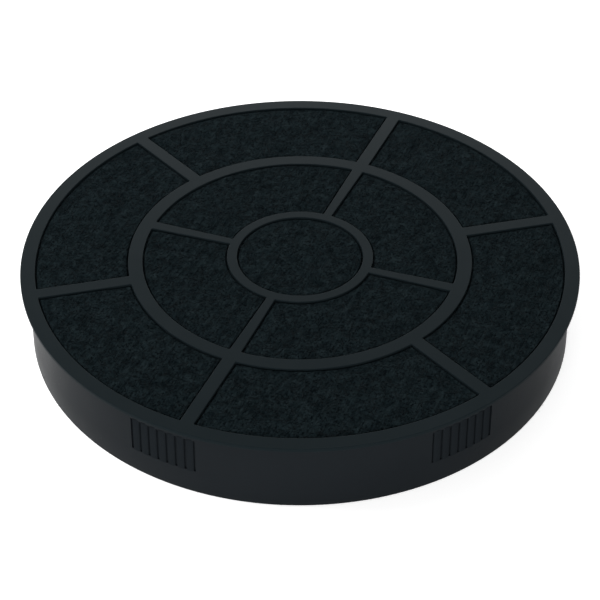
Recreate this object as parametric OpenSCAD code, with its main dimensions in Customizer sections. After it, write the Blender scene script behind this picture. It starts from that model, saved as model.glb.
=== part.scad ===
// Round carbon filter for a cooker hood: a grille lid welded on a case with a bayonet hub,
// with a bed of carbon granules held between two sheets of fleece.
// The rear face lies on Z = 0, the grille face is up, and the through bar runs along X.

/* [Overall size] */
// Diameter over the flange of the lid
overall_d = 240; // [210:1:280]
// Height from the rear face to the grille face
overall_h = 34; // [26:0.5:45]

/* [Grille lid] */
// Thickness of the lid
lid_t = 1.7; // [1.2:0.1:2.5]
// Width of the band round the lid, from its outer edge to the fleece
rim_w = 6.3; // [6:0.1:10]
// How far the lid stands out past the wall of the case
overhang = 3.4; // [1.5:0.1:3.6]
// Mean diameter of the middle ring
mid_ring_d = 141.8; // [110:0.2:170]
// Width of the middle ring
mid_ring_w = 6.2; // [3:0.1:9]
// Mean diameter of the inner ring
inner_ring_d = 58.7; // [40:0.1:80]
// Width of the inner ring
inner_ring_w = 4.3; // [2.5:0.1:7]
// Width of the six outer bars
bar_w = 5.8; // [3:0.1:9]
// Turn of the second pair of outer bars from the through bar
second_bar_turn = 63; // [50:0.5:70]
// Turn of the third pair of outer bars from the through bar
third_bar_turn = 126; // [110:0.5:130]
// Width of an inner bar where it leaves the inner ring
inner_bar_root_w = 3.6; // [2:0.1:6]
// Width of an inner bar where it meets the middle ring
inner_bar_tip_w = 5.0; // [2:0.1:8]
// Turn of the inner cross bars from the through bar
cross_bar_turn = 94.2; // [80:0.1:100]
// Radius on the visible edges of the rings and bars
edge_r = 0.35; // [0.1:0.05:0.6]

/* [Case] */
// Thickness of the wall
wall_t = 2; // [1.8:0.1:2.4]
// How much wider the wall is at the rear than under the lid, on the radius
wall_draft = 0.6; // [0:0.1:1.5]
// Thickness of the rear grille
floor_t = 1.8; // [1.2:0.1:3]
// Width of the band round the rear grille, from the outside of the wall
rear_rim_w = 7.5; // [5:0.1:12]
// Radius on the rear edge of the wall
wall_edge_r = 1; // [0.3:0.1:1.5]

/* [Grip ribs] */
// Turn of the first pair of grip patches from the through bar
first_patch_turn = -5; // [-20:0.5:0]
// Turn of the second pair of grip patches from the through bar
second_patch_turn = 56.5; // [50:0.5:70]
// Turn of the third pair of grip patches from the through bar
third_patch_turn = 116; // [105:0.5:130]
// Number of ribs in a patch
rib_count = 7; // [4:1:9]
// Distance between neighbouring ribs, measured round the wall
rib_pitch = 4.1; // [3:0.1:6]
// Width of the dark gap between two ribs
rib_gap = 0.8; // [0.3:0.1:1]
// Depth of the gaps below the crowns of the ribs
rib_depth = 1.1; // [0.6:0.1:1.1]
// Height of the rounded crown of a rib above its shoulders
rib_crown = 0.15; // [0.1:0.05:0.35]
// How far the crowns stand out past the wall
rib_proud = 0.2; // [0.1:0.05:0.3]
// Length of the gaps between the ribs
gap_length = 16; // [8:0.5:18]
// Length of a rib past each end of its gaps
rib_run_out = 0.5; // [0.3:0.1:1]
// Distance from the grille face down to the gaps
gap_drop = 6.3; // [3.5:0.1:7]

/* [Weld seam] */
// Width of the tongue under the lid
tongue_w = 0.6; // [0.4:0.1:0.8]
// Height of the tongue under the lid
tongue_h = 0.6; // [0.3:0.1:1]

/* [Bayonet hub] */
// Diameter of the mouth that takes the boss of the hood
mouth_d = 44; // [36:0.5:46]
// Thickness of the lip round the mouth
lip_t = 3; // [2:0.1:4]
// Diameter of the chamber in which the lugs turn
chamber_d = 53; // [50:0.5:56]
// Height of the chamber
chamber_h = 9; // [7:0.5:10]
// Thickness of the cup round the chamber
cup_t = 1.8; // [1.2:0.1:2.5]
// Diameter of the solid disc round the hub
hub_disc_d = 72; // [66:1:80]
// Number of lug entries
entry_count = 3; // [2:1:3]
// Angle that one lug entry takes up
entry_angle = 22; // [14:1:26]
// Depth of a lug entry, outwards from the mouth
entry_depth = 3.2; // [2:0.1:3.4]
// Turn from a lug entry to its lock
lock_turn = 52; // [45:1:60]
// Length of the ramp, and of the flat seat that follows it
ramp_length = 5; // [3:0.5:5]
// Height of the ramp above the lip where it starts
ramp_toe = 0.2; // [0.1:0.05:0.25]
// Height of the flat seat above the lip
ramp_rise = 0.6; // [0.3:0.1:1]
// Height of the stop at the end of the seat
stop_h = 3.4; // [2:0.1:4]
// Thickness of the stop
stop_t = 2; // [1.5:0.1:2.5]
// Distance from the edge of the mouth back to the lock
lock_setback = 1; // [0.5:0.1:1.5]

/* [Filling] */
// Thickness of each fleece
fleece_t = 2; // [1:0.1:4]

/* [Clearances] */
// Gap at the sides and the top of the weld tongue
seam_gap = 0.1; // [0.05:0.05:0.2]
// Gap round the edges of the fleeces and the carbon
lay_gap = 0.3; // [0.1:0.1:0.4]

/* [Hidden] */
$fn = 180;

// Overlap that joins shapes of one moulding
weld = 1;
// Steps in a quarter turn of a rounded edge
edge_steps = 4;
// Reach of cutters past the surface that they cut
past = 1;

lid_r = overall_d / 2;
rim_in_r = lid_r - rim_w;
wall_h = overall_h - lid_t;
wall_front_r = lid_r - overhang;
wall_rear_r = wall_front_r + wall_draft;
rear_rim_in_r = wall_rear_r - rear_rim_w;
mid_ring_r = mid_ring_d / 2;
inner_ring_r = inner_ring_d / 2;
mouth_r = mouth_d / 2;
chamber_r = chamber_d / 2;
cup_r = chamber_r + cup_t;
chamber_top = lip_t + chamber_h;
cup_h = chamber_top + cup_t;
hub_disc_r = hub_disc_d / 2;
fleece_rear_top = floor_t + fleece_t;
fleece_front_base = wall_h - fleece_t;
tongue_r = wall_front_r - wall_t / 2;
groove_w = tongue_w + 2 * seam_gap;
gap_top = overall_h - gap_drop;
gap_base = gap_top - gap_length;
rib_turn = rib_pitch / wall_front_r * 180 / PI;
rib_w = rib_pitch - rib_gap;
crown_r = (pow(rib_w / 2, 2) + pow(rib_crown, 2)) / (2 * rib_crown);
draft_angle = atan(wall_draft / wall_h);
gap_sunk = rib_depth - rib_proud;
rib_height = rib_depth + (wall_t - gap_sunk) / 2;
bar_turns = [0, second_bar_turn, third_bar_turn];
patch_turns = [first_patch_turn, second_patch_turn, third_patch_turn];

lid_colour = [0.16, 0.18, 0.185];
case_colour = [0.14, 0.155, 0.165];
fleece_colour = [0.09, 0.11, 0.115];
carbon_colour = [0.05, 0.05, 0.055];

// Radius of the outside of the wall at height z
function outer_wall_r(z) = wall_rear_r - wall_draft * z / wall_h;
// Radius of the inside of the wall at height z
function inner_wall_r(z) = outer_wall_r(z) - wall_t;
// Points of a quarter arc of radius r about (x, y), from angle a on
function quarter(x, y, r, a) =
    [for (i = [0:edge_steps]) [x + r * cos(a + 90 * i / edge_steps), y + r * sin(a + 90 * i / edge_steps)]];

// Section of a strip of width w and thickness t, with rounded upper edges
module strip_section(w, t) {
    polygon(concat([[0, 0], [w, 0]], quarter(w - edge_r, t - edge_r, edge_r, 0),
        quarter(edge_r, t - edge_r, edge_r, 90)));
}

// Flat ring about the axis, with rounded upper edges
module flat_ring(r_in, r_out, t) {
    rotate_extrude() translate([r_in, 0]) strip_section(r_out - r_in, t);
}

// Straight bar along X from radius r_from to r_to, with rounded upper edges
module flat_bar(r_from, r_to, w, t) {
    translate([r_from, 0, 0]) rotate([90, 0, 90])
        linear_extrude(r_to - r_from) translate([-w / 2, 0]) strip_section(w, t);
}

// Bar along X with plain edges, from radius r_from and width w_from to radius r_to and width w_to
module plain_bar(r_from, r_to, w_from, w_to, t) {
    linear_extrude(t) polygon([[r_from, -w_from / 2], [r_to, -w_to / 2],
        [r_to, w_to / 2], [r_from, w_from / 2]]);
}

// Copies of a shape at each turn in the list, and at the opposite side of the axis
module opposite_pairs(turns) {
    for (turn = turns, side = [0, 180]) rotate([0, 0, turn + side]) children();
}

// Sector of a revolved rectangle, centred on the X axis
module ring_sector(r_in, r_out, z_low, z_high, angle) {
    rotate([0, 0, -angle / 2]) rotate_extrude(angle = angle)
        translate([r_in, z_low]) square([r_out - r_in, z_high - z_low]);
}

// One lid: flange, rings, bars and the tongue of the weld seam
module front_grille() {
    color(lid_colour) translate([0, 0, wall_h]) {
        rotate_extrude() polygon(concat(
            [[rim_in_r, 0]],
            quarter(lid_r - edge_r, edge_r, edge_r, 270),
            quarter(lid_r - edge_r, lid_t - edge_r, edge_r, 0),
            quarter(rim_in_r + edge_r, lid_t - edge_r, edge_r, 90)));
        flat_ring(mid_ring_r - mid_ring_w / 2, mid_ring_r + mid_ring_w / 2, lid_t);
        flat_ring(inner_ring_r - inner_ring_w / 2, inner_ring_r + inner_ring_w / 2, lid_t);
        opposite_pairs(bar_turns)
            flat_bar(mid_ring_r + mid_ring_w / 2 - weld, rim_in_r + weld, bar_w, lid_t);
        opposite_pairs([0, cross_bar_turn])
            plain_bar(inner_ring_r + inner_ring_w / 2 - weld, mid_ring_r - mid_ring_w / 2 + weld,
                inner_bar_root_w, inner_bar_tip_w, lid_t);
        rotate_extrude() translate([tongue_r - tongue_w / 2, -tongue_h])
            square([tongue_w, tongue_h + edge_r]);
    }
}

// Wall with the rear rim, a rounded rear edge and the groove of the weld seam
module case_wall() {
    difference() {
        rotate_extrude() polygon(concat(
            quarter(rear_rim_in_r + edge_r, edge_r, edge_r, 180),
            quarter(wall_rear_r - wall_edge_r, wall_edge_r, wall_edge_r, 270),
            [[wall_front_r, wall_h], [wall_front_r - wall_t, wall_h],
                [inner_wall_r(floor_t), floor_t], [rear_rim_in_r, floor_t]]));
        rotate_extrude() translate([tongue_r - groove_w / 2, wall_h - tongue_h - seam_gap])
            square([groove_w, tongue_h + seam_gap + past]);
    }
}

// Outline of one grip rib, with its rounded crown at x = 0 and its root inside the wall
module rib_outline() {
    intersection() {
        translate([-crown_r, 0]) circle(crown_r);
        translate([-rib_height, -rib_w / 2]) square([rib_height + past, rib_w]);
    }
}

// Ribs of one grip patch, side by side about the X axis, which lean with the drafted wall
module grip_ribs() {
    for (i = [0:rib_count - 1])
        rotate([0, 0, (i - (rib_count - 1) / 2) * rib_turn])
            translate([outer_wall_r(gap_base) + rib_proud, 0, gap_base]) rotate([0, -draft_angle, 0])
                translate([0, 0, -rib_run_out]) linear_extrude(gap_length + 2 * rib_run_out) rib_outline();
}

// Cutter for the sunk floor of one grip patch, which follows the drafted wall
module grip_pocket() {
    angle = rib_count * rib_turn + rib_gap / wall_front_r * 180 / PI;
    rotate([0, 0, -angle / 2]) rotate_extrude(angle = angle) polygon([
        [outer_wall_r(gap_base) - gap_sunk, gap_base], [wall_rear_r + past, gap_base],
        [wall_rear_r + past, gap_top], [outer_wall_r(gap_top) - gap_sunk, gap_top]]);
}

// Cup with the mouth and the chamber of the bayonet, and the disc round it
module hub_cup() {
    rotate_extrude() polygon(concat(
        quarter(mouth_r + edge_r, edge_r, edge_r, 180),
        quarter(hub_disc_r - edge_r, edge_r, edge_r, 270),
        [[hub_disc_r, floor_t], [cup_r, floor_t], [cup_r, cup_h], [0, cup_h], [0, chamber_top],
            [chamber_r, chamber_top], [chamber_r, lip_t], [mouth_r, lip_t]]));
}

// Ramp, flat seat and stop for one lug, on the inside of the lip
module lock() {
    length = 2 * ramp_length + stop_t;
    intersection() {
        translate([mouth_r + lock_setback, -length / 2, lip_t]) rotate([90, 0, 90])
            linear_extrude(cup_r - mouth_r)
                polygon([[0, -lip_t / 2], [0, ramp_toe], [ramp_length, ramp_rise], [2 * ramp_length, ramp_rise],
                    [2 * ramp_length, stop_h], [length, stop_h], [length, -lip_t / 2]]);
        cylinder(r = chamber_r + cup_t / 2, h = chamber_top);
    }
}

// Hub with its lug entries cut through the lip and a lock for each lug
module hub() {
    difference() {
        hub_cup();
        for (i = [0:entry_count - 1]) rotate([0, 0, i * 360 / entry_count])
            ring_sector(mouth_r - past, mouth_r + entry_depth, -past, lip_t + past / 2, entry_angle);
    }
    for (i = [0:entry_count - 1]) rotate([0, 0, i * 360 / entry_count + lock_turn]) lock();
}

// One moulding: wall, rear grille, grip ribs and hub
module case() {
    color(case_colour) {
        difference() {
            case_wall();
            opposite_pairs(patch_turns) grip_pocket();
        }
        opposite_pairs(patch_turns) grip_ribs();
        translate([0, 0, floor_t]) mirror([0, 0, 1])
            flat_ring(mid_ring_r - mid_ring_w / 2, mid_ring_r + mid_ring_w / 2, floor_t);
        opposite_pairs(bar_turns)
            plain_bar(hub_disc_r - weld, rear_rim_in_r + weld, bar_w, bar_w, floor_t);
        hub();
    }
}

// Disc of fleece under the lid
module front_fleece() {
    color(fleece_colour) translate([0, 0, fleece_front_base])
        cylinder(r = inner_wall_r(wall_h) - lay_gap, h = fleece_t);
}

// Ring of fleece on the rear grille, round the hub
module rear_fleece() {
    color(fleece_colour) rotate_extrude() translate([cup_r + lay_gap, floor_t])
        square([inner_wall_r(fleece_rear_top) - cup_r - 2 * lay_gap, fleece_t]);
}

// Granules between the two fleeces, round and above the hub
module carbon_bed() {
    color(carbon_colour) rotate_extrude() polygon([
        [0, cup_h + lay_gap], [cup_r + lay_gap, cup_h + lay_gap], [cup_r + lay_gap, fleece_rear_top],
        [inner_wall_r(fleece_rear_top) - lay_gap, fleece_rear_top],
        [inner_wall_r(fleece_front_base) - lay_gap, fleece_front_base], [0, fleece_front_base]]);
}

front_grille();
case();
front_fleece();
rear_fleece();
carbon_bed();
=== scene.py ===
import math

import bmesh
import bpy
import numpy as np
from mathutils import Matrix, Vector
from mathutils.geometry import delaunay_2d_cdt


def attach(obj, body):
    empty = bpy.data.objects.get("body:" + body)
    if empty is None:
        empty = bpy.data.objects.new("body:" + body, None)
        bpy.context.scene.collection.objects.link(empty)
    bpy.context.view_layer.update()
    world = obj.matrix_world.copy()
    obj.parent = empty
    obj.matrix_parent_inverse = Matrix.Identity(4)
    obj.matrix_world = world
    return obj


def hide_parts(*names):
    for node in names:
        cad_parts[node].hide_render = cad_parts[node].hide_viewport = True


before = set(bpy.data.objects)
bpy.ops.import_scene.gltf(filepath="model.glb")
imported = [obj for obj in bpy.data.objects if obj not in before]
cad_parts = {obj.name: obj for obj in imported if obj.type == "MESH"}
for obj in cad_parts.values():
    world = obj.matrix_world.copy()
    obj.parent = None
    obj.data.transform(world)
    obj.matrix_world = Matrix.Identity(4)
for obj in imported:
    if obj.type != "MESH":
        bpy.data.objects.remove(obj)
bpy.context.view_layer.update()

mm = 0.001  # lengths below are in millimetres, and meshes become metres when they are finished

# Shapes that the lid and the case share
sharedForm = {
    "wallTop": 32.3,  # height of the lid's underside
    "midRing": (67.8, 74.0),  # inner and outer radius
    "barTurns": (0, 63, 126, 180, 243, 306),
    "barWidth": 5.8,
    "cornerR": 0.5,  # fillet where a bar meets a ring
    "leastCornerR": 0.15,  # what is left of it on an outline moved far inwards
    "filletSteps": 5,
    "edgeR": 0.22,
    "edgeSteps": 5,
    "holdingBand": 0.15,  # flat band beside a rounded edge, keeps the flat faces flat in shading
    "arcStep": 1.0,  # degrees
    "smallStations": 180,  # points round a small circle
    "sharpAngle": 32,  # degrees from which an edge is shaded sharp
    "mergeReach": 1e-4,  # points closer than this become one
    "fillReach": 1e-6,
}


def direction(turn):
    return Vector((math.cos(turn), math.sin(turn)))


def turnOf(vector):
    return math.atan2(vector.y, vector.x)


def arcPoints(centre, radius, start, end, steps):
    swing = (end - start + math.pi) % (2 * math.pi) - math.pi
    return [centre + direction(start + swing * i / steps) * radius for i in range(steps + 1)]


def arcSteps(start, end):
    swing = abs((end - start + math.pi) % (2 * math.pi) - math.pi)
    return max(2, round(math.degrees(swing) / sharedForm["arcStep"]))


def barEdge(turn, side, root, tip):
    # Edge line of a bar; root and tip are (radius, width), and side 1 is the anticlockwise edge
    lean = math.atan2((tip[1] - root[1]) / 2, tip[0] - root[0])
    along = Vector((math.cos(lean), side * math.sin(lean)))
    away = Vector((-math.sin(lean), side * math.cos(lean)))
    offset = away.dot(Vector((root[0], side * root[1] / 2)))
    turned = Matrix.Rotation(math.radians(turn), 2)
    return {"along": turned @ along, "away": turned @ away, "offset": offset}


def parallelBar(rootR=0, tipR=1):
    # Root and tip of an outer bar, which keeps its width
    return (rootR, sharedForm["barWidth"]), (tipR, sharedForm["barWidth"])


def filletCentre(radius, edge, gap):
    # Point at this radius that lies gap away from a bar's edge
    across = edge["offset"] + gap
    return edge["away"] * across + edge["along"] * math.sqrt(radius ** 2 - across ** 2)


def fieldLoop(innerR, outerR, startEdge, endEdge, grow):
    # Outline of an opening between two bars and two rings, moved outwards by grow
    fillet = max(sharedForm["cornerR"], sharedForm["leastCornerR"] - grow)
    steps, origin = sharedForm["filletSteps"], Vector((0, 0))
    innerStart = filletCentre(innerR + fillet, startEdge, fillet)
    outerStart = filletCentre(outerR - fillet, startEdge, fillet)
    innerEnd = filletCentre(innerR + fillet, endEdge, fillet)
    outerEnd = filletCentre(outerR - fillet, endEdge, fillet)
    r = fillet + grow
    toStart, toEnd = turnOf(-startEdge["away"]), turnOf(-endEdge["away"])
    points = arcPoints(innerStart, r, turnOf(-innerStart), toStart, steps)
    points += arcPoints(outerStart, r, toStart, turnOf(outerStart), steps)
    a, b = turnOf(outerStart), turnOf(outerEnd)
    points += arcPoints(origin, outerR + grow, a, b, arcSteps(a, b))[1:-1]
    points += arcPoints(outerEnd, r, turnOf(outerEnd), toEnd, steps)
    points += arcPoints(innerEnd, r, toEnd, turnOf(-innerEnd), steps)
    a, b = turnOf(innerEnd), turnOf(innerStart)
    points += arcPoints(origin, innerR - grow, a, b, arcSteps(a, b))[1:-1]
    return points


def barFields(innerR, outerR, turns, root, tip):
    # One outline maker for each opening between neighbouring bars
    fields = []
    for i, turn in enumerate(turns):
        start = barEdge(turn, 1, root, tip)
        end = barEdge(turns[(i + 1) % len(turns)], -1, root, tip)
        fields.append(lambda grow, s=start, e=end: fieldLoop(innerR, outerR, s, e, grow))
    return fields


def circleLoop(radius, turns):
    return [direction(math.radians(turn)) * radius for turn in turns]


def evenTurns(count):
    return [360 * i / count for i in range(count)]


def vertLoop(bm, points, z):
    return [bm.verts.new((p.x, p.y, z)) for p in points]


def joinLoops(bm, first, second):
    count = len(first)
    for i in range(count):
        j = (i + 1) % count
        bm.faces.new((first[i], first[j], second[j], second[i]))


def loftLoops(bm, loops):
    for first, second in zip(loops, loops[1:]):
        joinLoops(bm, first, second)


def insideLoop(point, loop):
    inside = False
    for a, b in zip(loop, loop[1:] + loop[:1]):
        if (a.co.y > point.y) != (b.co.y > point.y):
            crossing = a.co.x + (point.y - a.co.y) * (b.co.x - a.co.x) / (b.co.y - a.co.y)
            inside ^= point.x < crossing
    return inside


def fillFlat(bm, loops):
    # Flat face inside the first loop and outside the others
    verts = [v for loop in loops for v in loop]
    owner = [k for k, loop in enumerate(loops) for _ in loop]
    edges, start = [], 0
    for loop in loops:
        edges += [(start + i, start + (i + 1) % len(loop)) for i in range(len(loop))]
        start += len(loop)
    points = [Vector((v.co.x, v.co.y)) for v in verts]
    _, _, faces, sources, _, _ = delaunay_2d_cdt(points, edges, [], 0,
                                                  sharedForm["fillReach"], True)
    for face in faces:
        ids = [sources[i][0] for i in face]
        hole = owner[ids[0]]
        middle = sum((points[i] for i in ids), Vector((0, 0))) / len(ids)
        if hole and all(owner[i] == hole for i in ids) and insideLoop(middle, loops[hole]):
            continue
        bm.faces.new([verts[i] for i in ids])


def finishMesh(bm, name, sharpAngle=sharedForm["sharpAngle"]):
    bmesh.ops.remove_doubles(bm, verts=bm.verts, dist=sharedForm["mergeReach"])
    bmesh.ops.recalc_face_normals(bm, faces=bm.faces)
    openEdges = sum(1 for e in bm.edges if len(e.link_faces) != 2)
    mesh = bpy.data.meshes.new(name)
    bm.to_mesh(mesh)
    bm.free()
    mesh.transform(Matrix.Scale(mm, 4))
    mesh.shade_smooth()
    mesh.set_sharp_from_angle(angle=math.radians(sharpAngle))
    piece = bpy.data.objects.new(name, mesh)
    bpy.context.scene.collection.objects.link(piece)
    print(f"  {name}: {len(mesh.polygons)} faces, {openEdges} open edges")
    return piece


def quarterRound(radius, steps):
    # (inset, drop) of the points of a rounded edge, from the flat face to the side
    return [(radius * (1 - math.sin(a)), radius * (1 - math.cos(a)))
            for a in (math.pi / 2 * i / steps for i in range(steps + 1))]


# Lid

lidForm = {
    "outerR": 120.0,
    "top": 34.0,
    "rimInR": 113.7,
    "innerRing": (27.2, 31.5),
    "innerBarTurns": (0, 94.2, 180, 274.2),
    "innerBarRoot": (30.5, 3.6),  # radius and width
    "innerBarTip": (68.8, 5.0),
    "tongue": (115.3, 115.9, 0.6),  # inner radius, outer radius, height
    "stations": 480,
}


def lidFields():
    midIn, midOut = sharedForm["midRing"]
    innerRingIn, innerRingOut = lidForm["innerRing"]
    outer = barFields(midOut, lidForm["rimInR"], sharedForm["barTurns"], *parallelBar())
    inner = barFields(innerRingOut, midIn, lidForm["innerBarTurns"],
                      lidForm["innerBarRoot"], lidForm["innerBarTip"])
    turns = evenTurns(sharedForm["smallStations"])
    return outer + inner + [lambda grow: circleLoop(innerRingIn + grow, turns)]


def makeLid():
    bm = bmesh.new()
    top, under = lidForm["top"], sharedForm["wallTop"]
    edge, band = sharedForm["edgeR"], sharedForm["holdingBand"]
    rounding = quarterRound(edge, sharedForm["edgeSteps"])
    turns = evenTurns(lidForm["stations"])
    tongueIn, tongueOut, tongueH = lidForm["tongue"]
    outerR = lidForm["outerR"]
    profile = [(outerR - edge - band, top)] + [(outerR - x, top - y) for x, y in rounding]
    profile += [(outerR - x, under + y) for x, y in reversed(rounding)]
    profile += [(tongueOut, under), (tongueOut, under - tongueH),
                (tongueIn, under - tongueH), (tongueIn, under)]
    flange = [vertLoop(bm, circleLoop(r, turns), z) for r, z in profile]
    loftLoops(bm, flange)
    topLoops, underLoops = [flange[0]], [flange[-1]]
    for field in lidFields():
        loops = [vertLoop(bm, field(edge + band), top)]
        loops += [vertLoop(bm, field(x), top - y) for x, y in rounding]
        loops.append(vertLoop(bm, field(0), under))
        loftLoops(bm, loops)
        topLoops.append(loops[0])
        underLoops.append(loops[-1])
    fillFlat(bm, topLoops)
    fillFlat(bm, underLoops)
    return finishMesh(bm, "grilleLid")


# Case

caseForm = {
    "outerRear": 117.2,  # radius of the wall at the rear
    "outerFront": 116.6,
    "wallT": 2.0,
    "wallEdgeR": 1.0,
    "topGap": 0.02,  # hair gap under the lid, so that no two faces lie in one plane
    "groove": (115.2, 116.0, 0.7),  # for the lid's tongue: inner radius, outer radius, depth
    "floorT": 1.8,  # thickness of the rear grille
    "rearRimInR": 109.7,
    "hubDiscR": 36.0,
    "mouthR": 22.0,
    "entryR": 25.2,
    "entryTurns": (0, 120, 240),
    "entryHalf": 11.0,  # degrees
    "entryFillet": 0.8,
    "lipT": 3.0,  # thickness of the lip that the lugs turn behind
    "chamberR": 26.5,
    "chamberTop": 12.0,
    "cupR": 28.3,
    "cupTop": 13.8,
    "lockTurn": 52.0,  # degrees on from an entry
    "lockIn": 23.0,  # radii between which a lock stands
    "lockOut": 27.4,
    "lockOutline": (  # distance along the turn, height above the lip
        (-6, -1.5), (-6, 0.2), (-1, 0.6), (4, 0.6), (4.1, 3.4), (6, 3.4), (6, -1.5)),
    "lockRound": 0.2,
    "pocketDepth": 0.9,  # of the sunk patches round the wall
    "pocketHeights": (11.7, 27.7),
    "pocketHalf": 7.248,  # degrees
    "patchTurns": (-5, 56.5, 116, 175, 236.5, 296),  # three, and the three opposite them
    "stations": 360,
    "stationGap": 0.35,  # degrees that they keep from the edges of the patches
}


def wallR(z):
    share = z / sharedForm["wallTop"]
    return caseForm["outerRear"] + (caseForm["outerFront"] - caseForm["outerRear"]) * share


def turnsApart(first, second):
    return abs((first - second + 180) % 360 - 180)


def caseTurns():
    # Stations round the case, with one on each side of every grip patch
    edges = [(turn + side * caseForm["pocketHalf"]) % 360
             for turn in caseForm["patchTurns"] for side in (-1, 1)]
    keep = [turn for turn in evenTurns(caseForm["stations"])
            if all(turnsApart(turn, edge) > caseForm["stationGap"] for edge in edges)]
    return sorted(keep + edges)


def inPatch(turn):
    half = caseForm["pocketHalf"]
    return any(turnsApart(turn, centre) < half for centre in caseForm["patchTurns"])


def gripWall(bm, turns, rearLoop, frontLoop):
    # Drafted outside of the wall with the sunk patches for the ribs
    low, high = caseForm["pocketHeights"]
    rows = [rearLoop, vertLoop(bm, circleLoop(wallR(low), turns), low),
            vertLoop(bm, circleLoop(wallR(high), turns), high), frontLoop]
    depth = caseForm["pocketDepth"]
    sunk = [vertLoop(bm, circleLoop(wallR(z) - depth, turns), z) for z in (low, high)]
    count = len(turns)
    patch = [inPatch((turns[i] + ((turns[(i + 1) % count] - turns[i]) % 360) / 2) % 360)
             for i in range(count)]
    joinLoops(bm, rows[0], rows[1])
    joinLoops(bm, rows[2], rows[3])
    for i in range(count):
        j = (i + 1) % count
        if not patch[i]:
            bm.faces.new((rows[1][i], rows[1][j], rows[2][j], rows[2][i]))
            continue
        bm.faces.new((sunk[0][i], sunk[0][j], sunk[1][j], sunk[1][i]))
        bm.faces.new((rows[1][i], rows[1][j], sunk[0][j], sunk[0][i]))
        bm.faces.new((rows[2][i], rows[2][j], sunk[1][j], sunk[1][i]))
        for k, neighbour in ((i, i - 1), (j, j)):
            if not patch[neighbour % count]:
                bm.faces.new((rows[1][k], rows[2][k], sunk[1][k], sunk[0][k]))
    loose = [v for row in sunk for v in row if not v.link_faces]
    bmesh.ops.delete(bm, geom=loose, context="VERTS")


def mouthLoop(grow):
    # Outline of the bayonet mouth with its lug entries
    mouthR, entryR = caseForm["mouthR"], caseForm["entryR"]
    inFillet, lipFillet = sharedForm["cornerR"], caseForm["entryFillet"]
    steps, half = sharedForm["filletSteps"], math.radians(caseForm["entryHalf"])
    origin, points, sides = Vector((0, 0)), [], []
    for turn in caseForm["entryTurns"]:
        for side in (-1, 1):
            along = direction(math.radians(turn) + side * half)
            away = Vector((-along.y, along.x)) * -side  # towards the middle of the entry
            lip = -away * lipFillet + along * math.sqrt((mouthR + lipFillet) ** 2 - lipFillet ** 2)
            inner = away * inFillet + along * math.sqrt((entryR - inFillet) ** 2 - inFillet ** 2)
            sides.append((lip, inner, turnOf(away)))
    for k in range(0, len(sides), 2):
        lip, inner, away = sides[k]
        points += arcPoints(lip, lipFillet - grow, turnOf(-lip), away, steps)
        points += arcPoints(inner, inFillet + grow, away + math.pi, turnOf(inner), steps)
        lip, inner, away = sides[k + 1]
        a, b = turnOf(sides[k][1]), turnOf(inner)
        points += arcPoints(origin, entryR + grow, a, b, arcSteps(a, b))[1:-1]
        points += arcPoints(inner, inFillet + grow, turnOf(inner), away + math.pi, steps)
        points += arcPoints(lip, lipFillet - grow, away, turnOf(-lip), steps)
        a, b = turnOf(lip), turnOf(sides[(k + 2) % len(sides)][0])
        points += arcPoints(origin, mouthR + grow, a, b, arcSteps(a, b))[1:-1]
    return points


def lugLock(bm, turn):
    # Ramp, seat and stop for one lug, sunk into the lip and the wall of the chamber
    rows = []
    for y, rise in caseForm["lockOutline"]:
        z = caseForm["lipT"] + rise
        outer = math.sqrt(caseForm["lockOut"] ** 2 - y ** 2)
        rows.append([Vector((caseForm["lockIn"], y, z)), Vector((outer, y, z))])
    turned = Matrix.Rotation(math.radians(turn), 3, "Z")
    ends = [[bm.verts.new(turned @ row[k]) for row in rows] for k in (0, 1)]
    made = [bm.faces.new(end) for end in ends]
    count = len(rows)
    for i in range(count):
        j = (i + 1) % count
        made.append(bm.faces.new((ends[0][i], ends[0][j], ends[1][j], ends[1][i])))
    edges = list({e for face in made for e in face.edges})
    bmesh.ops.bevel(bm, geom=edges, offset=caseForm["lockRound"], segments=2, profile=0.5,
                    affect="EDGES")


def caseFields():
    midIn, midOut = sharedForm["midRing"]
    turns, rimR, hubR = sharedForm["barTurns"], caseForm["rearRimInR"], caseForm["hubDiscR"]
    outer = barFields(midOut, rimR, turns, *parallelBar())
    return outer + barFields(hubR, midIn, turns, *parallelBar())


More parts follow.
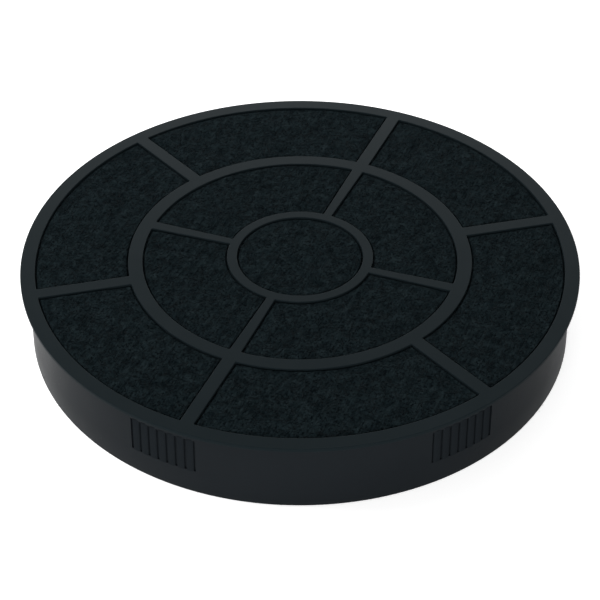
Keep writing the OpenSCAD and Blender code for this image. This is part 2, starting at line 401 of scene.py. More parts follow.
def makeCase():
    bm = bmesh.new()
    edge, band, steps = sharedForm["edgeR"], sharedForm["holdingBand"], sharedForm["edgeSteps"]
    floorT, wallT, wallEdge = caseForm["floorT"], caseForm["wallT"], caseForm["wallEdgeR"]
    top = sharedForm["wallTop"] - caseForm["topGap"]
    grooveIn, grooveOut, grooveH = caseForm["groove"]
    turns, hubTurns = caseTurns(), evenTurns(sharedForm["smallStations"])
    inside = [(wallR(floorT) - wallT, floorT), (wallR(top) - wallT, top), (grooveIn, top),
              (grooveIn, top - grooveH), (grooveOut, top - grooveH), (grooveOut, top),
              (wallR(top), top)]
    inner = [vertLoop(bm, circleLoop(r, turns), z) for r, z in inside]
    loftLoops(bm, inner)
    rear = [(caseForm["outerRear"] - x, y) for x, y in reversed(quarterRound(wallEdge, steps))]
    rear.append((caseForm["outerRear"] - wallEdge - band, 0))
    rearLoops = [vertLoop(bm, circleLoop(r, turns), z) for r, z in rear]
    gripWall(bm, turns, rearLoops[0], inner[-1])
    loftLoops(bm, rearLoops)
    floorLoops, faceLoops = [inner[0]], [rearLoops[-1]]
    rounding = quarterRound(edge, steps)
    for field in caseFields():
        loops = [vertLoop(bm, field(edge + band), 0)]
        loops += [vertLoop(bm, field(x), y) for x, y in rounding]
        loops.append(vertLoop(bm, field(0), floorT))
        loftLoops(bm, loops)
        faceLoops.append(loops[0])
        floorLoops.append(loops[-1])
    cupR, cupTop = caseForm["cupR"], caseForm["cupTop"]
    cup = [vertLoop(bm, circleLoop(r, hubTurns), z)
           for r, z in ((cupR, floorT), (cupR, cupTop - edge), (cupR - edge, cupTop))]
    loftLoops(bm, cup)
    fillFlat(bm, [cup[-1]])
    floorLoops.append(cup[0])
    mouth = [vertLoop(bm, mouthLoop(edge + band), 0)]
    mouth += [vertLoop(bm, mouthLoop(x), y) for x, y in rounding]
    mouth.append(vertLoop(bm, mouthLoop(0), caseForm["lipT"]))
    loftLoops(bm, mouth)
    faceLoops.append(mouth[0])
    chamber = [vertLoop(bm, circleLoop(caseForm["chamberR"], hubTurns), z)
               for z in (caseForm["lipT"], caseForm["chamberTop"])]
    joinLoops(bm, *chamber)
    fillFlat(bm, [chamber[0], mouth[-1]])
    fillFlat(bm, [chamber[1]])
    fillFlat(bm, floorLoops)
    fillFlat(bm, faceLoops)
    for turn in caseForm["entryTurns"]:
        lugLock(bm, turn + caseForm["lockTurn"])
    return finishMesh(bm, "caseMoulding")


# Node helpers

def addNode(tree, kind, inputs=None, **settings):
    made = tree.nodes.new(kind)
    for key, value in settings.items():
        setattr(made, key, value)
    for key, value in (inputs or {}).items():
        if isinstance(value, bpy.types.NodeSocket):
            tree.links.new(value, made.inputs[key])
        else:
            made.inputs[key].default_value = value
    return made


def nodeResult(tree, kind, inputs=None, **settings):
    # First output of a new node
    return addNode(tree, kind, inputs, **settings).outputs[0]


def mathResult(tree, operation, *values):
    return nodeResult(tree, "ShaderNodeMath", dict(enumerate(values)), operation=operation)


def newShapeTree(name, inputs):
    # Geometry Nodes tree with a geometry input and output, and the named inputs
    tree = bpy.data.node_groups.new(name, "GeometryNodeTree")
    tree.interface.new_socket(name="Geometry", in_out="INPUT", socket_type="NodeSocketGeometry")
    tree.interface.new_socket(name="Geometry", in_out="OUTPUT", socket_type="NodeSocketGeometry")
    for label, (kind, value) in inputs.items():
        socket = tree.interface.new_socket(name=label, in_out="INPUT", socket_type=kind)
        socket.default_value = value
    return tree


def closeShapeTree(tree, shape, finish):
    # Ends the tree in real geometry with this material
    real = nodeResult(tree, "GeometryNodeRealizeInstances", {0: shape})
    coated = nodeResult(tree, "GeometryNodeSetMaterial", {"Geometry": real, "Material": finish})
    addNode(tree, "NodeGroupOutput", {0: coated})


def applyShapeTree(piece, tree, values):
    # Runs the tree on the piece with these named values and keeps the result as a plain mesh
    modifier = piece.modifiers.new(tree.name, "NODES")
    modifier.node_group = tree
    for item in tree.interface.items_tree:
        if item.item_type == "SOCKET" and item.in_out == "INPUT" and item.name in values:
            modifier[item.identifier] = values[item.name]
    bpy.context.view_layer.update()
    shaped = piece.evaluated_get(bpy.context.evaluated_depsgraph_get())
    mesh = bpy.data.meshes.new_from_object(shaped)
    piece.modifiers.clear()
    piece.data = mesh
    mesh.name = piece.name
    print(f"  {piece.name}: {len(mesh.polygons)} faces")
    return piece


# Grip ribs

ribForm = {
    "count": 7,
    "step": 2.0147,  # degrees between neighbouring ribs
    "width": 3.3,
    "proud": 0.2,  # crest above the drafted wall
    "crownR": 6.0,
    "rootR": 115.62,
    "heights": (11.2, 28.2),
    "endRound": 0.45,  # radius at the ends of a rib
    "shoulderRound": 0.55,
    "roundSteps": 4,
    "sharpAngle": 40,
}


def ribOutline(z, lower):
    # Across the rib: a crown with rounded shoulders on straight flanks, lowered at the rib's ends
    half, crown, soft = ribForm["width"] / 2, ribForm["crownR"], ribForm["shoulderRound"]
    rootR, steps = ribForm["rootR"], ribForm["roundSteps"]
    middle = wallR(z) + ribForm["proud"] - crown - lower
    reach = math.asin((half - soft) / (crown - soft))
    centre = middle + (crown - soft) * math.cos(reach)
    sideTurns = [math.pi / 2 + (reach - math.pi / 2) * i / steps for i in range(steps + 1)]
    topTurns = [reach * i / steps for i in range(steps - 1, -steps, -1)]
    side = [(centre + soft * math.cos(a), half - soft + soft * math.sin(a)) for a in sideTurns]
    top = [(middle + crown * math.cos(a), crown * math.sin(a)) for a in topTurns]
    across = [(rootR, half)] + side + top
    across += [(out, -y) for out, y in reversed(side)] + [(rootR, -half)]
    return [Vector(place) for place in across]


def ribTree(finish):
    # Repeats a rib along every patch; each of the three named patches has another opposite it
    tree = newShapeTree("gripRibTree", {
        "Ribs": ("NodeSocketInt", 1), "Step": ("NodeSocketFloat", 1.0),
        "First patch": ("NodeSocketFloat", 0.0), "Second patch": ("NodeSocketFloat", 0.0),
        "Third patch": ("NodeSocketFloat", 0.0)})
    given = addNode(tree, "NodeGroupInput").outputs

    def calc(operation, *values):
        return mathResult(tree, operation, *values)

    ribCount, patches = given["Ribs"], len(caseForm["patchTurns"])
    place = nodeResult(tree, "GeometryNodeInputIndex")
    patch = calc("FLOOR", calc("DIVIDE", place, ribCount))
    rib = calc("SUBTRACT", place, calc("MULTIPLY", patch, ribCount))
    pair = calc("MODULO", patch, patches / 2)
    opposite = calc("MULTIPLY", calc("GREATER_THAN", patch, patches / 2 - 0.5), 180.0)
    third = calc("GREATER_THAN", pair, 1.5)
    second = calc("SUBTRACT", calc("GREATER_THAN", pair, 0.5), third)
    first = calc("LESS_THAN", pair, 0.5)
    turn = calc("ADD", calc("MULTIPLY", first, given["First patch"]),
                calc("ADD", calc("MULTIPLY", second, given["Second patch"]),
                     calc("MULTIPLY", third, given["Third patch"])))
    middle = calc("MULTIPLY", calc("SUBTRACT", ribCount, 1.0), 0.5)
    spread = calc("MULTIPLY", calc("SUBTRACT", rib, middle), given["Step"])
    whole = calc("RADIANS", calc("ADD", calc("ADD", turn, opposite), spread))
    turned = nodeResult(tree, "ShaderNodeCombineXYZ", {"Z": whole})
    points = nodeResult(tree, "GeometryNodePoints",
                        {"Count": calc("MULTIPLY", ribCount, float(patches))})
    placed = nodeResult(tree, "GeometryNodeInstanceOnPoints", {
        "Points": points, "Instance": given["Geometry"], "Rotation": turned})
    closeShapeTree(tree, placed, finish)
    return tree


def makeRibs(finish):
    bm = bmesh.new()
    low, high = ribForm["heights"]
    ends = quarterRound(ribForm["endRound"], ribForm["roundSteps"])
    sections = [(low + rise, lower) for lower, rise in ends]
    sections += [(low + high - z, lower) for z, lower in reversed(sections)]
    loops = [vertLoop(bm, ribOutline(z, lower), z) for z, lower in sections]
    loftLoops(bm, loops)
    bm.faces.new(loops[0])
    bm.faces.new(loops[-1])
    ribs = finishMesh(bm, "gripRibs", ribForm["sharpAngle"])
    turns = caseForm["patchTurns"]
    return applyShapeTree(ribs, ribTree(finish), {
        "Ribs": ribForm["count"], "Step": ribForm["step"], "First patch": float(turns[0]),
        "Second patch": float(turns[1]), "Third patch": float(turns[2])})


# Fleeces

fleeceForm = {
    "frontR": 114.3,
    "frontFaces": (30.32, 32.27),  # lower and upper face where the lid holds it down
    "rearRadii": (28.6, 114.8),  # its hole clears the cup of the hub
    "rearFaces": (1.83, 3.78),
    "stations": 360,
    "spacing": 1.1,  # between the points of a sheet
    "jitter": 0.18,  # how far a point may stand off its place, as a share of the spacing
    "insets": (0.03, 0.62, 0.85),  # seams that follow the openings, in from the bars' edges
    "seamStep": 1.4,
    "frontPuff": 1.2,  # rise of the felt between the bars
    "rearPuff": 0.9,
    "puffStart": 0.6,  # width of the groove between a bar and the risen felt
    "puffReach": 0.1,  # how quickly it rises past the groove
    "bulge": 0.18,  # further rise in the middle of a field
    "bulgeReach": 9.0,  # distance from a bar over which it rises
    "lumps": ((34.0, 0.10), (13.0, 0.085), (5.5, 0.075), (2.9, 0.055)),  # wavelength, height
    "lumpSpread": (0.7, 1.4),  # shares between which a wavelength varies
    "lumpReach": 1.5,  # distance from a bar over which the lumps fade in
    "waves": 26,
    "sharpAngle": 60,
    "frontSeed": 11,
    "rearSeed": 12,
    "jitterSeed": 100,  # comes on top of the sheet's own seed
}


def lumpField(x, y, seed):
    # Smooth random relief: waves in random directions, the same at each run
    draws = np.random.default_rng(seed)
    total = np.zeros_like(x)
    for length, height in fleeceForm["lumps"]:
        for _ in range(fleeceForm["waves"]):
            turn, phase = draws.uniform(0, 2 * math.pi, 2)
            pitch = 2 * math.pi / (length * draws.uniform(*fleeceForm["lumpSpread"]))
            total += np.sin((x * math.cos(turn) + y * math.sin(turn)) * pitch + phase) \
                * height * math.sqrt(2 / fleeceForm["waves"])
    return total


def gapToGrille(x, y, rimR, rings, bars):
    # Distance from each point to the nearest ring, rim or bar, negative under them
    r, turn = np.hypot(x, y), np.degrees(np.arctan2(y, x))
    gap = rimR - r
    for innerR, outerR in rings:
        gap = np.minimum(gap, np.abs(r - (innerR + outerR) / 2) - (outerR - innerR) / 2)
    for barTurn, (rootR, rootWidth), (tipR, tipWidth) in bars:
        swing = np.radians((turn - barTurn + 180) % 360 - 180)
        along = r * np.cos(swing)
        width = rootWidth + (tipWidth - rootWidth) * (along - rootR) / (tipR - rootR)
        across = np.abs(r * np.sin(swing)) - width / 2
        ahead = (along > rootR - rootWidth) & (along < tipR + tipWidth)
        gap = np.where(ahead, np.minimum(gap, across), gap)
    return gap


def closeSpaced(loop):
    # The same outline with further points along its straight stretches
    points = []
    for a, b in zip(loop, loop[1:] + loop[:1]):
        steps = max(1, round((b - a).length / fleeceForm["seamStep"]))
        points += [a.lerp(b, i / steps) for i in range(steps)]
    return points


def feltSheet(name, innerR, outerR, faces, side, fields, gapAt, seed):
    # Two faces of felt; the one that shows, above for side 1, swells between the bars
    spacing, insets, jitter = fleeceForm["spacing"], fleeceForm["insets"], fleeceForm["jitter"]
    bm, draws = bmesh.new(), np.random.default_rng(seed + fleeceForm["jitterSeed"])
    turns = evenTurns(fleeceForm["stations"])
    borders = [circleLoop(r, turns) for r in (outerR, innerR) if r > 0]
    borderCount = len(turns) * len(borders)
    seams = [(closeSpaced(field(-inset)), inset) for inset in insets for field in fields]
    points, gaps, edges = [], [], []
    for loop, inset in [(border, 0.0) for border in borders] + seams:
        edges += [(len(points) + i, len(points) + (i + 1) % len(loop)) for i in range(len(loop))]
        points += loop
        gaps += [inset] * len(loop)
    across, count = spacing * math.sqrt(3) / 2, int(outerR / spacing) + 2
    for row in range(-count, count + 1):
        for column in range(-count, count + 1):
            shift = draws.uniform(-jitter, jitter, 2)
            place = (column + row % 2 / 2 + shift[0]) * spacing, (row + shift[1]) * across
            points.append(Vector(place))
    x, y = (np.array([p[k] for p in points]) for k in (0, 1))
    gap = gapAt(x, y)
    gap[:len(gaps)] = gaps
    clear = insets[-1] + spacing / 2
    keep = [i for i in range(len(points)) if i < len(gaps) or gap[i] > clear]
    x, y, gap = x[keep], y[keep], gap[keep]
    risen = np.clip(gap - fleeceForm["puffStart"], 0, None) / fleeceForm["puffReach"]
    puff = (1 - np.exp(-risen)) * fleeceForm["frontPuff" if side > 0 else "rearPuff"]
    reach = np.clip(gap / fleeceForm["bulgeReach"], 0, 1)
    bulge = reach * reach * (3 - 2 * reach) * fleeceForm["bulge"]
    lumps = lumpField(x, y, seed) * np.clip(gap / fleeceForm["lumpReach"], 0, 1)
    swell = puff + bulge + lumps
    shown, hidden = (faces[1], faces[0]) if side > 0 else (faces[0], faces[1])
    made = [bm.verts.new(place) for place in zip(x, y, shown + side * swell)]
    kept = [Vector(place) for place in zip(x, y)]
    _, _, triangles, sources, _, _ = delaunay_2d_cdt(kept, edges, [], 0,
                                                     sharedForm["fillReach"], True)
    for triangle in triangles:
        ids = [sources[i][0] for i in triangle]
        if innerR > 0 and max(ids) < borderCount:
            if (sum((kept[i] for i in ids), Vector((0, 0))) / 3).length < innerR:
                continue
        bm.faces.new([made[i] for i in ids])
    start, backs = 0, []
    for border in borders:
        backs.append(vertLoop(bm, border, hidden))
        joinLoops(bm, made[start:start + len(border)], backs[-1])
        start += len(border)
    fillFlat(bm, backs)
    return finishMesh(bm, name, fleeceForm["sharpAngle"])


fibreForm = {
    "length": 7.5,
    "thickness": 0.11,
    "scales": (0.45, 1.35),  # shares of the length between which the fibres vary
    "curl": 2.6,  # how far a fibre wanders from a straight line
    "lift": 0.22,  # how far it rises from and dips into the felt
    "wanderScale": 210.0,
    "points": 4,  # along a fibre
    "sides": 3,
    "facing": 0.5,  # least share of a face's normal along the axis for fibres to lie on it
    "frontCount": 10500,
    "rearCount": 6500,
    "frontSeed": 5,
    "rearSeed": 8,
}


def fibreTree(name, side, seed, finish):
    # Scatters curled fibres over the faces that look out of the grille
    tree = newShapeTree(name, {
        "Density": ("NodeSocketFloat", 1.0), "Length": ("NodeSocketFloat", 1.0),
        "Radius": ("NodeSocketFloat", 1.0), "Curl": ("NodeSocketFloat", 1.0),
        "Lift": ("NodeSocketFloat", 1.0)})
    given = addNode(tree, "NodeGroupInput").outputs
    normal = nodeResult(tree, "GeometryNodeInputNormal")
    up = addNode(tree, "ShaderNodeSeparateXYZ", {0: normal}).outputs["Z"]
    facing = mathResult(tree, "MULTIPLY", up, float(side))
    outward = nodeResult(tree, "FunctionNodeCompare", {0: facing, 1: fibreForm["facing"]},
                         data_type="FLOAT", operation="GREATER_THAN")
    spots = addNode(tree, "GeometryNodeDistributePointsOnFaces", {
        "Mesh": given["Geometry"], "Selection": outward, "Density": given["Density"],
        "Seed": seed}, distribute_method="RANDOM").outputs["Points"]
    ends = [nodeResult(tree, "ShaderNodeCombineXYZ",
                       {"X": mathResult(tree, "MULTIPLY", given["Length"], share)})
            for share in (-0.5, 0.5)]
    line = nodeResult(tree, "GeometryNodeCurvePrimitiveLine", {"Start": ends[0], "End": ends[1]})
    strand = nodeResult(tree, "GeometryNodeResampleCurve",
                        {"Curve": line, "Count": fibreForm["points"]})
    spin = nodeResult(tree, "FunctionNodeRandomValue", {
        0: (0.0, 0.0, 0.0), 1: (0.0, 0.0, 2 * math.pi), "Seed": seed + 1},
        data_type="FLOAT_VECTOR")
    small, large = fibreForm["scales"]
    size = addNode(tree, "FunctionNodeRandomValue", {2: small, 3: large, "Seed": seed + 2},
                   data_type="FLOAT").outputs[1]
    laid = nodeResult(tree, "GeometryNodeInstanceOnPoints", {
        "Points": spots, "Instance": strand, "Rotation": spin, "Scale": size})
    real = nodeResult(tree, "GeometryNodeRealizeInstances", {0: laid})
    wander = addNode(tree, "ShaderNodeTexNoise", {
        "Scale": fibreForm["wanderScale"], "Detail": 1.0}).outputs["Color"]
    centred = nodeResult(tree, "ShaderNodeVectorMath", {0: wander, 1: (0.5, 0.5, 0.5)},
                         operation="SUBTRACT")
    reach = nodeResult(tree, "ShaderNodeCombineXYZ", {
        "X": given["Curl"], "Y": given["Curl"], "Z": given["Lift"]})
    offset = nodeResult(tree, "ShaderNodeVectorMath", {0: centred, 1: reach},
                        operation="MULTIPLY")
    bent = nodeResult(tree, "GeometryNodeSetPosition", {"Geometry": real, "Offset": offset})
    section = nodeResult(tree, "GeometryNodeCurvePrimitiveCircle", {
        "Resolution": fibreForm["sides"], "Radius": given["Radius"]})
    hair = nodeResult(tree, "GeometryNodeCurveToMesh", {"Curve": bent, "Profile Curve": section})
    closeShapeTree(tree, hair, finish)
    return tree


def makeFibres(name, felt, side, count, seed, finish):
    fibres = bpy.data.objects.new(name, felt.data.copy())
    bpy.context.scene.collection.objects.link(fibres)
    area = sum(p.area for p in felt.data.polygons if p.normal.z * side > fibreForm["facing"])
    return applyShapeTree(fibres, fibreTree(name + "Tree", side, seed, finish), {
        "Density": count / area, "Length": fibreForm["length"] * mm,
        "Radius": fibreForm["thickness"] / 2 * mm, "Curl": fibreForm["curl"] * mm * 2,
        "Lift": fibreForm["lift"] * mm * 2})


def frontGap(x, y):
    rimR, rings = lidForm["rimInR"], [sharedForm["midRing"], lidForm["innerRing"]]
    bars = [(turn, *parallelBar(sharedForm["midRing"][1], rimR)) for turn in sharedForm["barTurns"]]
    inner = lidForm["innerBarRoot"], lidForm["innerBarTip"]
    bars += [(turn, *inner) for turn in lidForm["innerBarTurns"]]
    return gapToGrille(x, y, rimR, rings, bars)


def rearGap(x, y):
    rimR, hubR = caseForm["rearRimInR"], caseForm["hubDiscR"]
    bars = [(turn, *parallelBar(hubR, rimR)) for turn in sharedForm["barTurns"]]
    return gapToGrille(x, y, rimR, [sharedForm["midRing"], (0, hubR)], bars)


# Finishes

def newFinish(name):
    finish = bpy.data.materials.new(name)
    finish.use_nodes = True
    finish.node_tree.nodes.clear()
    return finish, finish.node_tree


def objectPlace(tree):
    return addNode(tree, "ShaderNodeTexCoord").outputs["Object"]


def noise(tree, place, scale, detail, roughness=0.5, distortion=0.0):
    return nodeResult(tree, "ShaderNodeTexNoise", {
        "Vector": place, "Scale": scale, "Detail": detail, "Roughness": roughness,
        "Distortion": distortion})


def stretched(tree, place, turn, scale):
    return nodeResult(tree, "ShaderNodeMapping", {
        "Vector": place, "Rotation": (0, 0, turn), "Scale": scale})


def ranged(tree, value, source, target=(0.0, 1.0)):
    # The value moved from one range to another and held inside it
    return nodeResult(tree, "ShaderNodeMapRange", {
        "Value": value, "From Min": source[0], "From Max": source[1],
        "To Min": target[0], "To Max": target[1]})


def shaded(tree, share, first, second):
    return addNode(tree, "ShaderNodeMix", {0: share, 6: first, 7: second},
                   data_type="RGBA").outputs[2]


def relief(tree, height, depth):
    # Bump with its depth in millimetres
    return nodeResult(tree, "ShaderNodeBump", {
        "Height": height, "Strength": 1.0, "Distance": depth * mm})


def closeFinish(tree, inputs):
    surface = nodeResult(tree, "ShaderNodeBsdfPrincipled", inputs)
    addNode(tree, "ShaderNodeOutputMaterial", {"Surface": surface})


plasticLook = {
    "lid": {"dark": (0.0066, 0.0104, 0.0122, 1), "light": (0.0084, 0.0124, 0.0144, 1),
            "roughness": (0.34, 0.42), "grain": 0.009, "grainScale": 2600.0, "specular": 0.03,
            "tint": (0.75, 0.96, 1.0, 1)},
    "case": {"dark": (0.0080, 0.0100, 0.0120, 1), "light": (0.0096, 0.0118, 0.0140, 1),
             "roughness": (0.28, 0.36), "grain": 0.004, "grainScale": 1500.0, "specular": 0.05,
             "tint": (0.85, 0.97, 1.0, 1)},
    # The ribs have a matt, spark-eroded skin for grip
    "grip": {"dark": (0.0092, 0.0114, 0.0134, 1), "light": (0.0109, 0.0134, 0.0157, 1),
             "roughness": (0.72, 0.85), "grain": 0.014, "grainScale": 2200.0, "specular": 0.01,
             "tint": (0.85, 0.97, 1.0, 1)},
}

rubLook = {
    "cloudScale": 38.0,
    "cloudRange": (0.3, 0.7),  # of the cloud, over which the roughness changes
    "turn": 0.6,
    "scale": (60.0, 2400.0, 900.0),  # makes long faint rub marks
    "range": (0.62, 0.75),
    "gloss": -0.05,  # change of roughness in a mark
    "depth": -0.4,  # depth of a mark as a share of the grain
}


def plasticFinish(name, look):
    finish, tree = newFinish(name)
    place = objectPlace(tree)
    cloud = noise(tree, place, rubLook["cloudScale"], detail=4.0, roughness=0.6)
    grain = noise(tree, place, look["grainScale"], detail=2.0, roughness=0.55)
    laid = stretched(tree, place, rubLook["turn"], rubLook["scale"])
    scuff = ranged(tree, noise(tree, laid, 1.0, detail=2.0), rubLook["range"])
    gloss = ranged(tree, cloud, rubLook["cloudRange"], look["roughness"])
    height = mathResult(tree, "MULTIPLY_ADD", scuff, rubLook["depth"], grain)
    closeFinish(tree, {
        "Base Color": shaded(tree, cloud, look["dark"], look["light"]),
        "Roughness": mathResult(tree, "MULTIPLY_ADD", scuff, rubLook["gloss"], gloss),
        "Normal": relief(tree, height, look["grain"]), "IOR": 1.5,
        "Specular IOR Level": look["specular"], "Specular Tint": look["tint"]})
    return finish


feltLook = {
    "dark": (0.0014, 0.0026, 0.0034, 1),
    "mid": (0.0062, 0.0106, 0.0124, 1),
    "light": (0.0141, 0.0216, 0.0243, 1),
    "tonePlaces": (0.46, 0.58, 0.74),  # of the three tones on the ramp
    "streakTurns": (0.3, 1.35, 2.4),
    "streakScale": (170.0, 1500.0, 400.0),
    "streakShare": 0.6,
    "clumpScale": 260.0,
    "clumpShare": 0.5,
    "pitScale": 900.0,
    "pitRange": (0.35, 0.50),
    "pitDepth": 0.35,  # as a share of the relief
    "relief": 0.35,
    "roughness": 0.95,
    "specular": 0.015,
}


def feltFinish():
    # Streaks of fibre in three directions, clumps, and pits between them, painted dark as shade
    # where the felt dips
    finish, tree = newFinish("needledFelt")
    place = objectPlace(tree)
    streaks = None
    for turn in feltLook["streakTurns"]:
        laid = stretched(tree, place, turn, feltLook["streakScale"])
        strand = noise(tree, laid, 1.0, detail=3.0, roughness=0.6, distortion=0.9)
        streaks = strand if streaks is None else mathResult(tree, "MAXIMUM", streaks, strand)
    clump = noise(tree, place, feltLook["clumpScale"], detail=5.0, roughness=0.7)
    pits = noise(tree, place, feltLook["pitScale"], detail=2.0, roughness=0.65)
    # Where the felt dips into pits; the same mask lowers the relief and paints the dark tone there
    # as shade
    pitShadeMask = ranged(tree, pits, feltLook["pitRange"])
    streaked = mathResult(tree, "MULTIPLY", streaks, feltLook["streakShare"])
    mixed = mathResult(tree, "MULTIPLY_ADD", clump, feltLook["clumpShare"], streaked)
    tone = addNode(tree, "ShaderNodeValToRGB", {0: mixed})
    stops, (first, middle, last) = tone.color_ramp.elements, feltLook["tonePlaces"]
    stops[0].position, stops[0].color = first, feltLook["dark"]
    stops[1].position, stops[1].color = last, feltLook["light"]
    stops.new(middle).color = feltLook["mid"]
    height = mathResult(tree, "MULTIPLY_ADD", pitShadeMask, feltLook["pitDepth"], mixed)
    # Base colour: the pits take the dark tone, painted shade in the dips
    closeFinish(tree, {
        "Base Color": shaded(tree, pitShadeMask, feltLook["dark"], tone.outputs[0]),
        "Roughness": feltLook["roughness"], "Normal": relief(tree, height, feltLook["relief"]),
        "Specular IOR Level": feltLook["specular"]})
    return finish


fibreLook = {
    "dark": (0.0025, 0.0038, 0.0046, 1),
    "light": (0.0125, 0.0175, 0.0200, 1),
    "scale": 300.0,
    "roughness": 0.62,
    "specular": 0.03,
}


def fibreFinish():
    finish, tree = newFinish("feltFibre")
    vary = noise(tree, objectPlace(tree), fibreLook["scale"], detail=2.0)
    closeFinish(tree, {
        "Base Color": shaded(tree, vary, fibreLook["dark"], fibreLook["light"]),
        "Roughness": fibreLook["roughness"], "Specular IOR Level": fibreLook["specular"]})
    return finish


carbonLook = {
    "middle": (0.016, 0.016, 0.018, 1),  # of a granule
    # painted shade at the edge of a granule, where it meets the next
    "edge": (0.004, 0.004, 0.0045, 1),
    "scale": 420.0,
    "relief": 1.2,
    "roughness": 0.6,
    "specular": 0.3,
}


def carbonFinish():
    finish, tree = newFinish("carbonGranule")
    # Distance from a granule's middle: its edge sits lower and is painted darker as shade between
    # granules
    edgeShadeDistance = addNode(tree, "ShaderNodeTexVoronoi", {
        "Vector": objectPlace(tree), "Scale": carbonLook["scale"]}).outputs["Distance"]
    height = mathResult(tree, "SUBTRACT", 1.0, edgeShadeDistance)
    closeFinish(tree, {
        "Base Color": shaded(tree, edgeShadeDistance, carbonLook["middle"], carbonLook["edge"]),
        "Roughness": carbonLook["roughness"], "Normal": relief(tree, height, carbonLook["relief"]),
        "Specular IOR Level": carbonLook["specular"]})
    return finish


# Stage, light and camera

stageLook = {
    "floorSize": 8.0,
    "floorDiffuse": (0.85, 0.85, 0.85, 1),
    "floorGlow": 0.62,  # what the camera sees on top of the lit paper
    "mirroredGlow": 0.06,  # what glossy and transmission rays see on top of it
    "skyLight": 0.45,
    "cameraTurn": 202.8,  # degrees from the through bar
    "cameraReach": (0.64523, 0.50814),  # level distance and height above the grille face
    "cameraPitch": 39.565,
    "lens": 114.228,
    "sensor": 36.0,
    "sightRange": (0.05, 30.0),
    "lampAim": 0.03,  # height that the lamps point at, on the filter's axis
}

# Turn from the camera's side in degrees, height, distance from the axis, width, depth in metres,
# power in watts, and whether the plastic mirrors it
softBoxes = {
    "keySoftBox": (-105, 0.95, 1.15, 0.9, 0.9, 17.0, False),
    "frontSoftBox": (-5, 0.22, 1.1, 0.9, 0.3, 7.8, False),
    "backSoftBox": (180, 0.21, 0.50, 0.9, 0.16, 1.4, True),
}


def seenRays(tree, camera, mirrored):
    # Strength for camera rays, and for glossy and transmission rays; nothing for diffuse rays
    rays = addNode(tree, "ShaderNodeLightPath").outputs
    turned = mathResult(tree, "MAXIMUM", rays["Is Glossy Ray"], rays["Is Transmission Ray"])
    part = mathResult(tree, "MULTIPLY", turned, mirrored)
    return mathResult(tree, "MULTIPLY_ADD", rays["Is Camera Ray"], camera, part)


def makeStage():
    bpy.ops.mesh.primitive_plane_add(size=stageLook["floorSize"])
    floor = bpy.context.active_object
    floor.name = "studioFloor"
    finish, tree = newFinish("studioPaper")
    paper = nodeResult(tree, "ShaderNodeBsdfDiffuse", {"Color": stageLook["floorDiffuse"]})
    lift = seenRays(tree, stageLook["floorGlow"], stageLook["mirroredGlow"])
    glow = nodeResult(tree, "ShaderNodeEmission", {"Strength": lift})
    both = nodeResult(tree, "ShaderNodeAddShader", {0: paper, 1: glow})
    addNode(tree, "ShaderNodeOutputMaterial", {"Surface": both})
    floor.data.materials.append(finish)

    sky = bpy.data.worlds.new("studioSky")
    bpy.context.scene.world = sky
    sky.use_nodes = True
    tree = sky.node_tree
    tree.nodes.clear()
    light, white = (nodeResult(tree, "ShaderNodeBackground",
                               {"Color": (1, 1, 1, 1), "Strength": strength})
                    for strength in (stageLook["skyLight"], 1.0))
    both = nodeResult(tree, "ShaderNodeMixShader", {
        0: seenRays(tree, 1.0, 1.0), 1: light, 2: white})
    addNode(tree, "ShaderNodeOutputWorld", {"Surface": both})


def softBox(name, turn, height, reach, width, depth, power, mirrored):
    lamp = bpy.data.lights.new(name, "AREA")
    lamp.shape, lamp.size, lamp.size_y, lamp.energy = "RECTANGLE", width, depth, power
    box = bpy.data.objects.new(name, lamp)
    bpy.context.scene.collection.objects.link(box)
    level = direction(math.radians(stageLook["cameraTurn"] + turn)) * reach
    box.location = (level.x, level.y, height)
    aim = Vector((0, 0, stageLook["lampAim"])) - box.location
    box.rotation_euler = aim.to_track_quat("-Z", "Y").to_euler()
    box.visible_glossy = mirrored


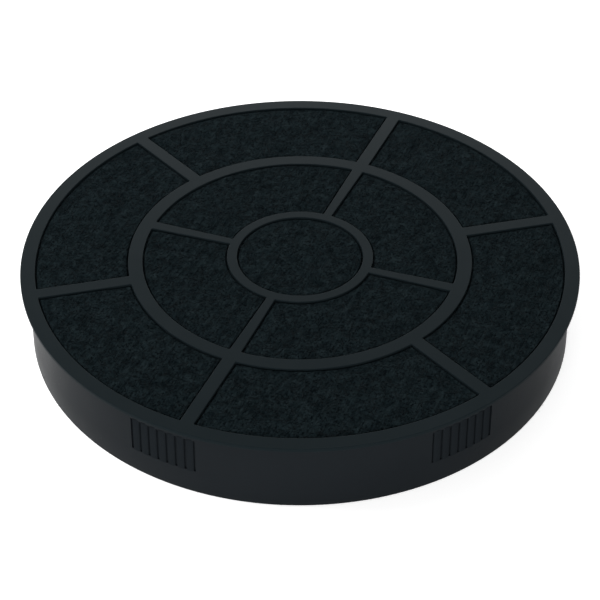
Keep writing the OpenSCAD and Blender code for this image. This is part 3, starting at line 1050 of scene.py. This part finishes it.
def makeCamera():
    lens = bpy.data.cameras.new("photoCamera")
    camera = bpy.data.objects.new("photoCamera", lens)
    bpy.context.scene.collection.objects.link(camera)
    lens.sensor_width, lens.lens = stageLook["sensor"], stageLook["lens"]
    lens.clip_start, lens.clip_end = stageLook["sightRange"]
    turn, pitch = (math.radians(stageLook[k]) for k in ("cameraTurn", "cameraPitch"))
    level, rise = stageLook["cameraReach"]
    side = direction(turn)
    camera.location = (side.x * level, side.y * level, lidForm["top"] * mm + rise)
    aim = Vector((-side.x * math.cos(pitch), -side.y * math.cos(pitch), -math.sin(pitch)))
    camera.rotation_euler = aim.to_track_quat("-Z", "Y").to_euler()
    bpy.context.scene.camera = camera


# Build

print("finishes")
lidPlastic = plasticFinish("lidPlastic", plasticLook["lid"])
casePlastic = plasticFinish("casePlastic", plasticLook["case"])
gripPlastic = plasticFinish("gripPlastic", plasticLook["grip"])
needledFelt = feltFinish()
feltFibre = fibreFinish()
carbonGranule = carbonFinish()

print("lid")
grilleLid = makeLid()
grilleLid.data.materials.append(lidPlastic)

print("case")
caseMoulding = makeCase()
caseMoulding.data.materials.append(casePlastic)
gripRibs = makeRibs(gripPlastic)

print("fleeces")
frontFelt = feltSheet("frontFelt", 0.0, fleeceForm["frontR"], fleeceForm["frontFaces"], 1,
                      lidFields(), frontGap, fleeceForm["frontSeed"])
frontFelt.data.materials.append(needledFelt)
frontFibres = makeFibres("frontFibres", frontFelt, 1, fibreForm["frontCount"],
                         fibreForm["frontSeed"], feltFibre)
rearFelt = feltSheet("rearFelt", *fleeceForm["rearRadii"], fleeceForm["rearFaces"], -1,
                     caseFields(), rearGap, fleeceForm["rearSeed"])
rearFelt.data.materials.append(needledFelt)
rearFibres = makeFibres("rearFibres", rearFelt, -1, fibreForm["rearCount"],
                        fibreForm["rearSeed"], feltFibre)

print("carbon")
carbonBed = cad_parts["carbon_bed"]
carbonBed.data.materials.clear()
carbonBed.data.materials.append(carbonGranule)

print("stage")
makeStage()
for name, values in softBoxes.items():
    softBox(name, *values)
makeCamera()
bpy.context.scene.view_settings.view_transform = "Standard"

for piece, node, slotName in (
        (grilleLid, "front_grille", "lid_plastic"), (caseMoulding, "case", "case_plastic"),
        (frontFelt, "front_fleece", "carbon_fleece"), (rearFelt, "rear_fleece", "carbon_fleece")):
    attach(piece, "root")
    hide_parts(node)
for piece, slotName in ((gripRibs, "case_plastic"), (frontFibres, "carbon_fleece"),
                        (rearFibres, "carbon_fleece")):
    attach(piece, "root")
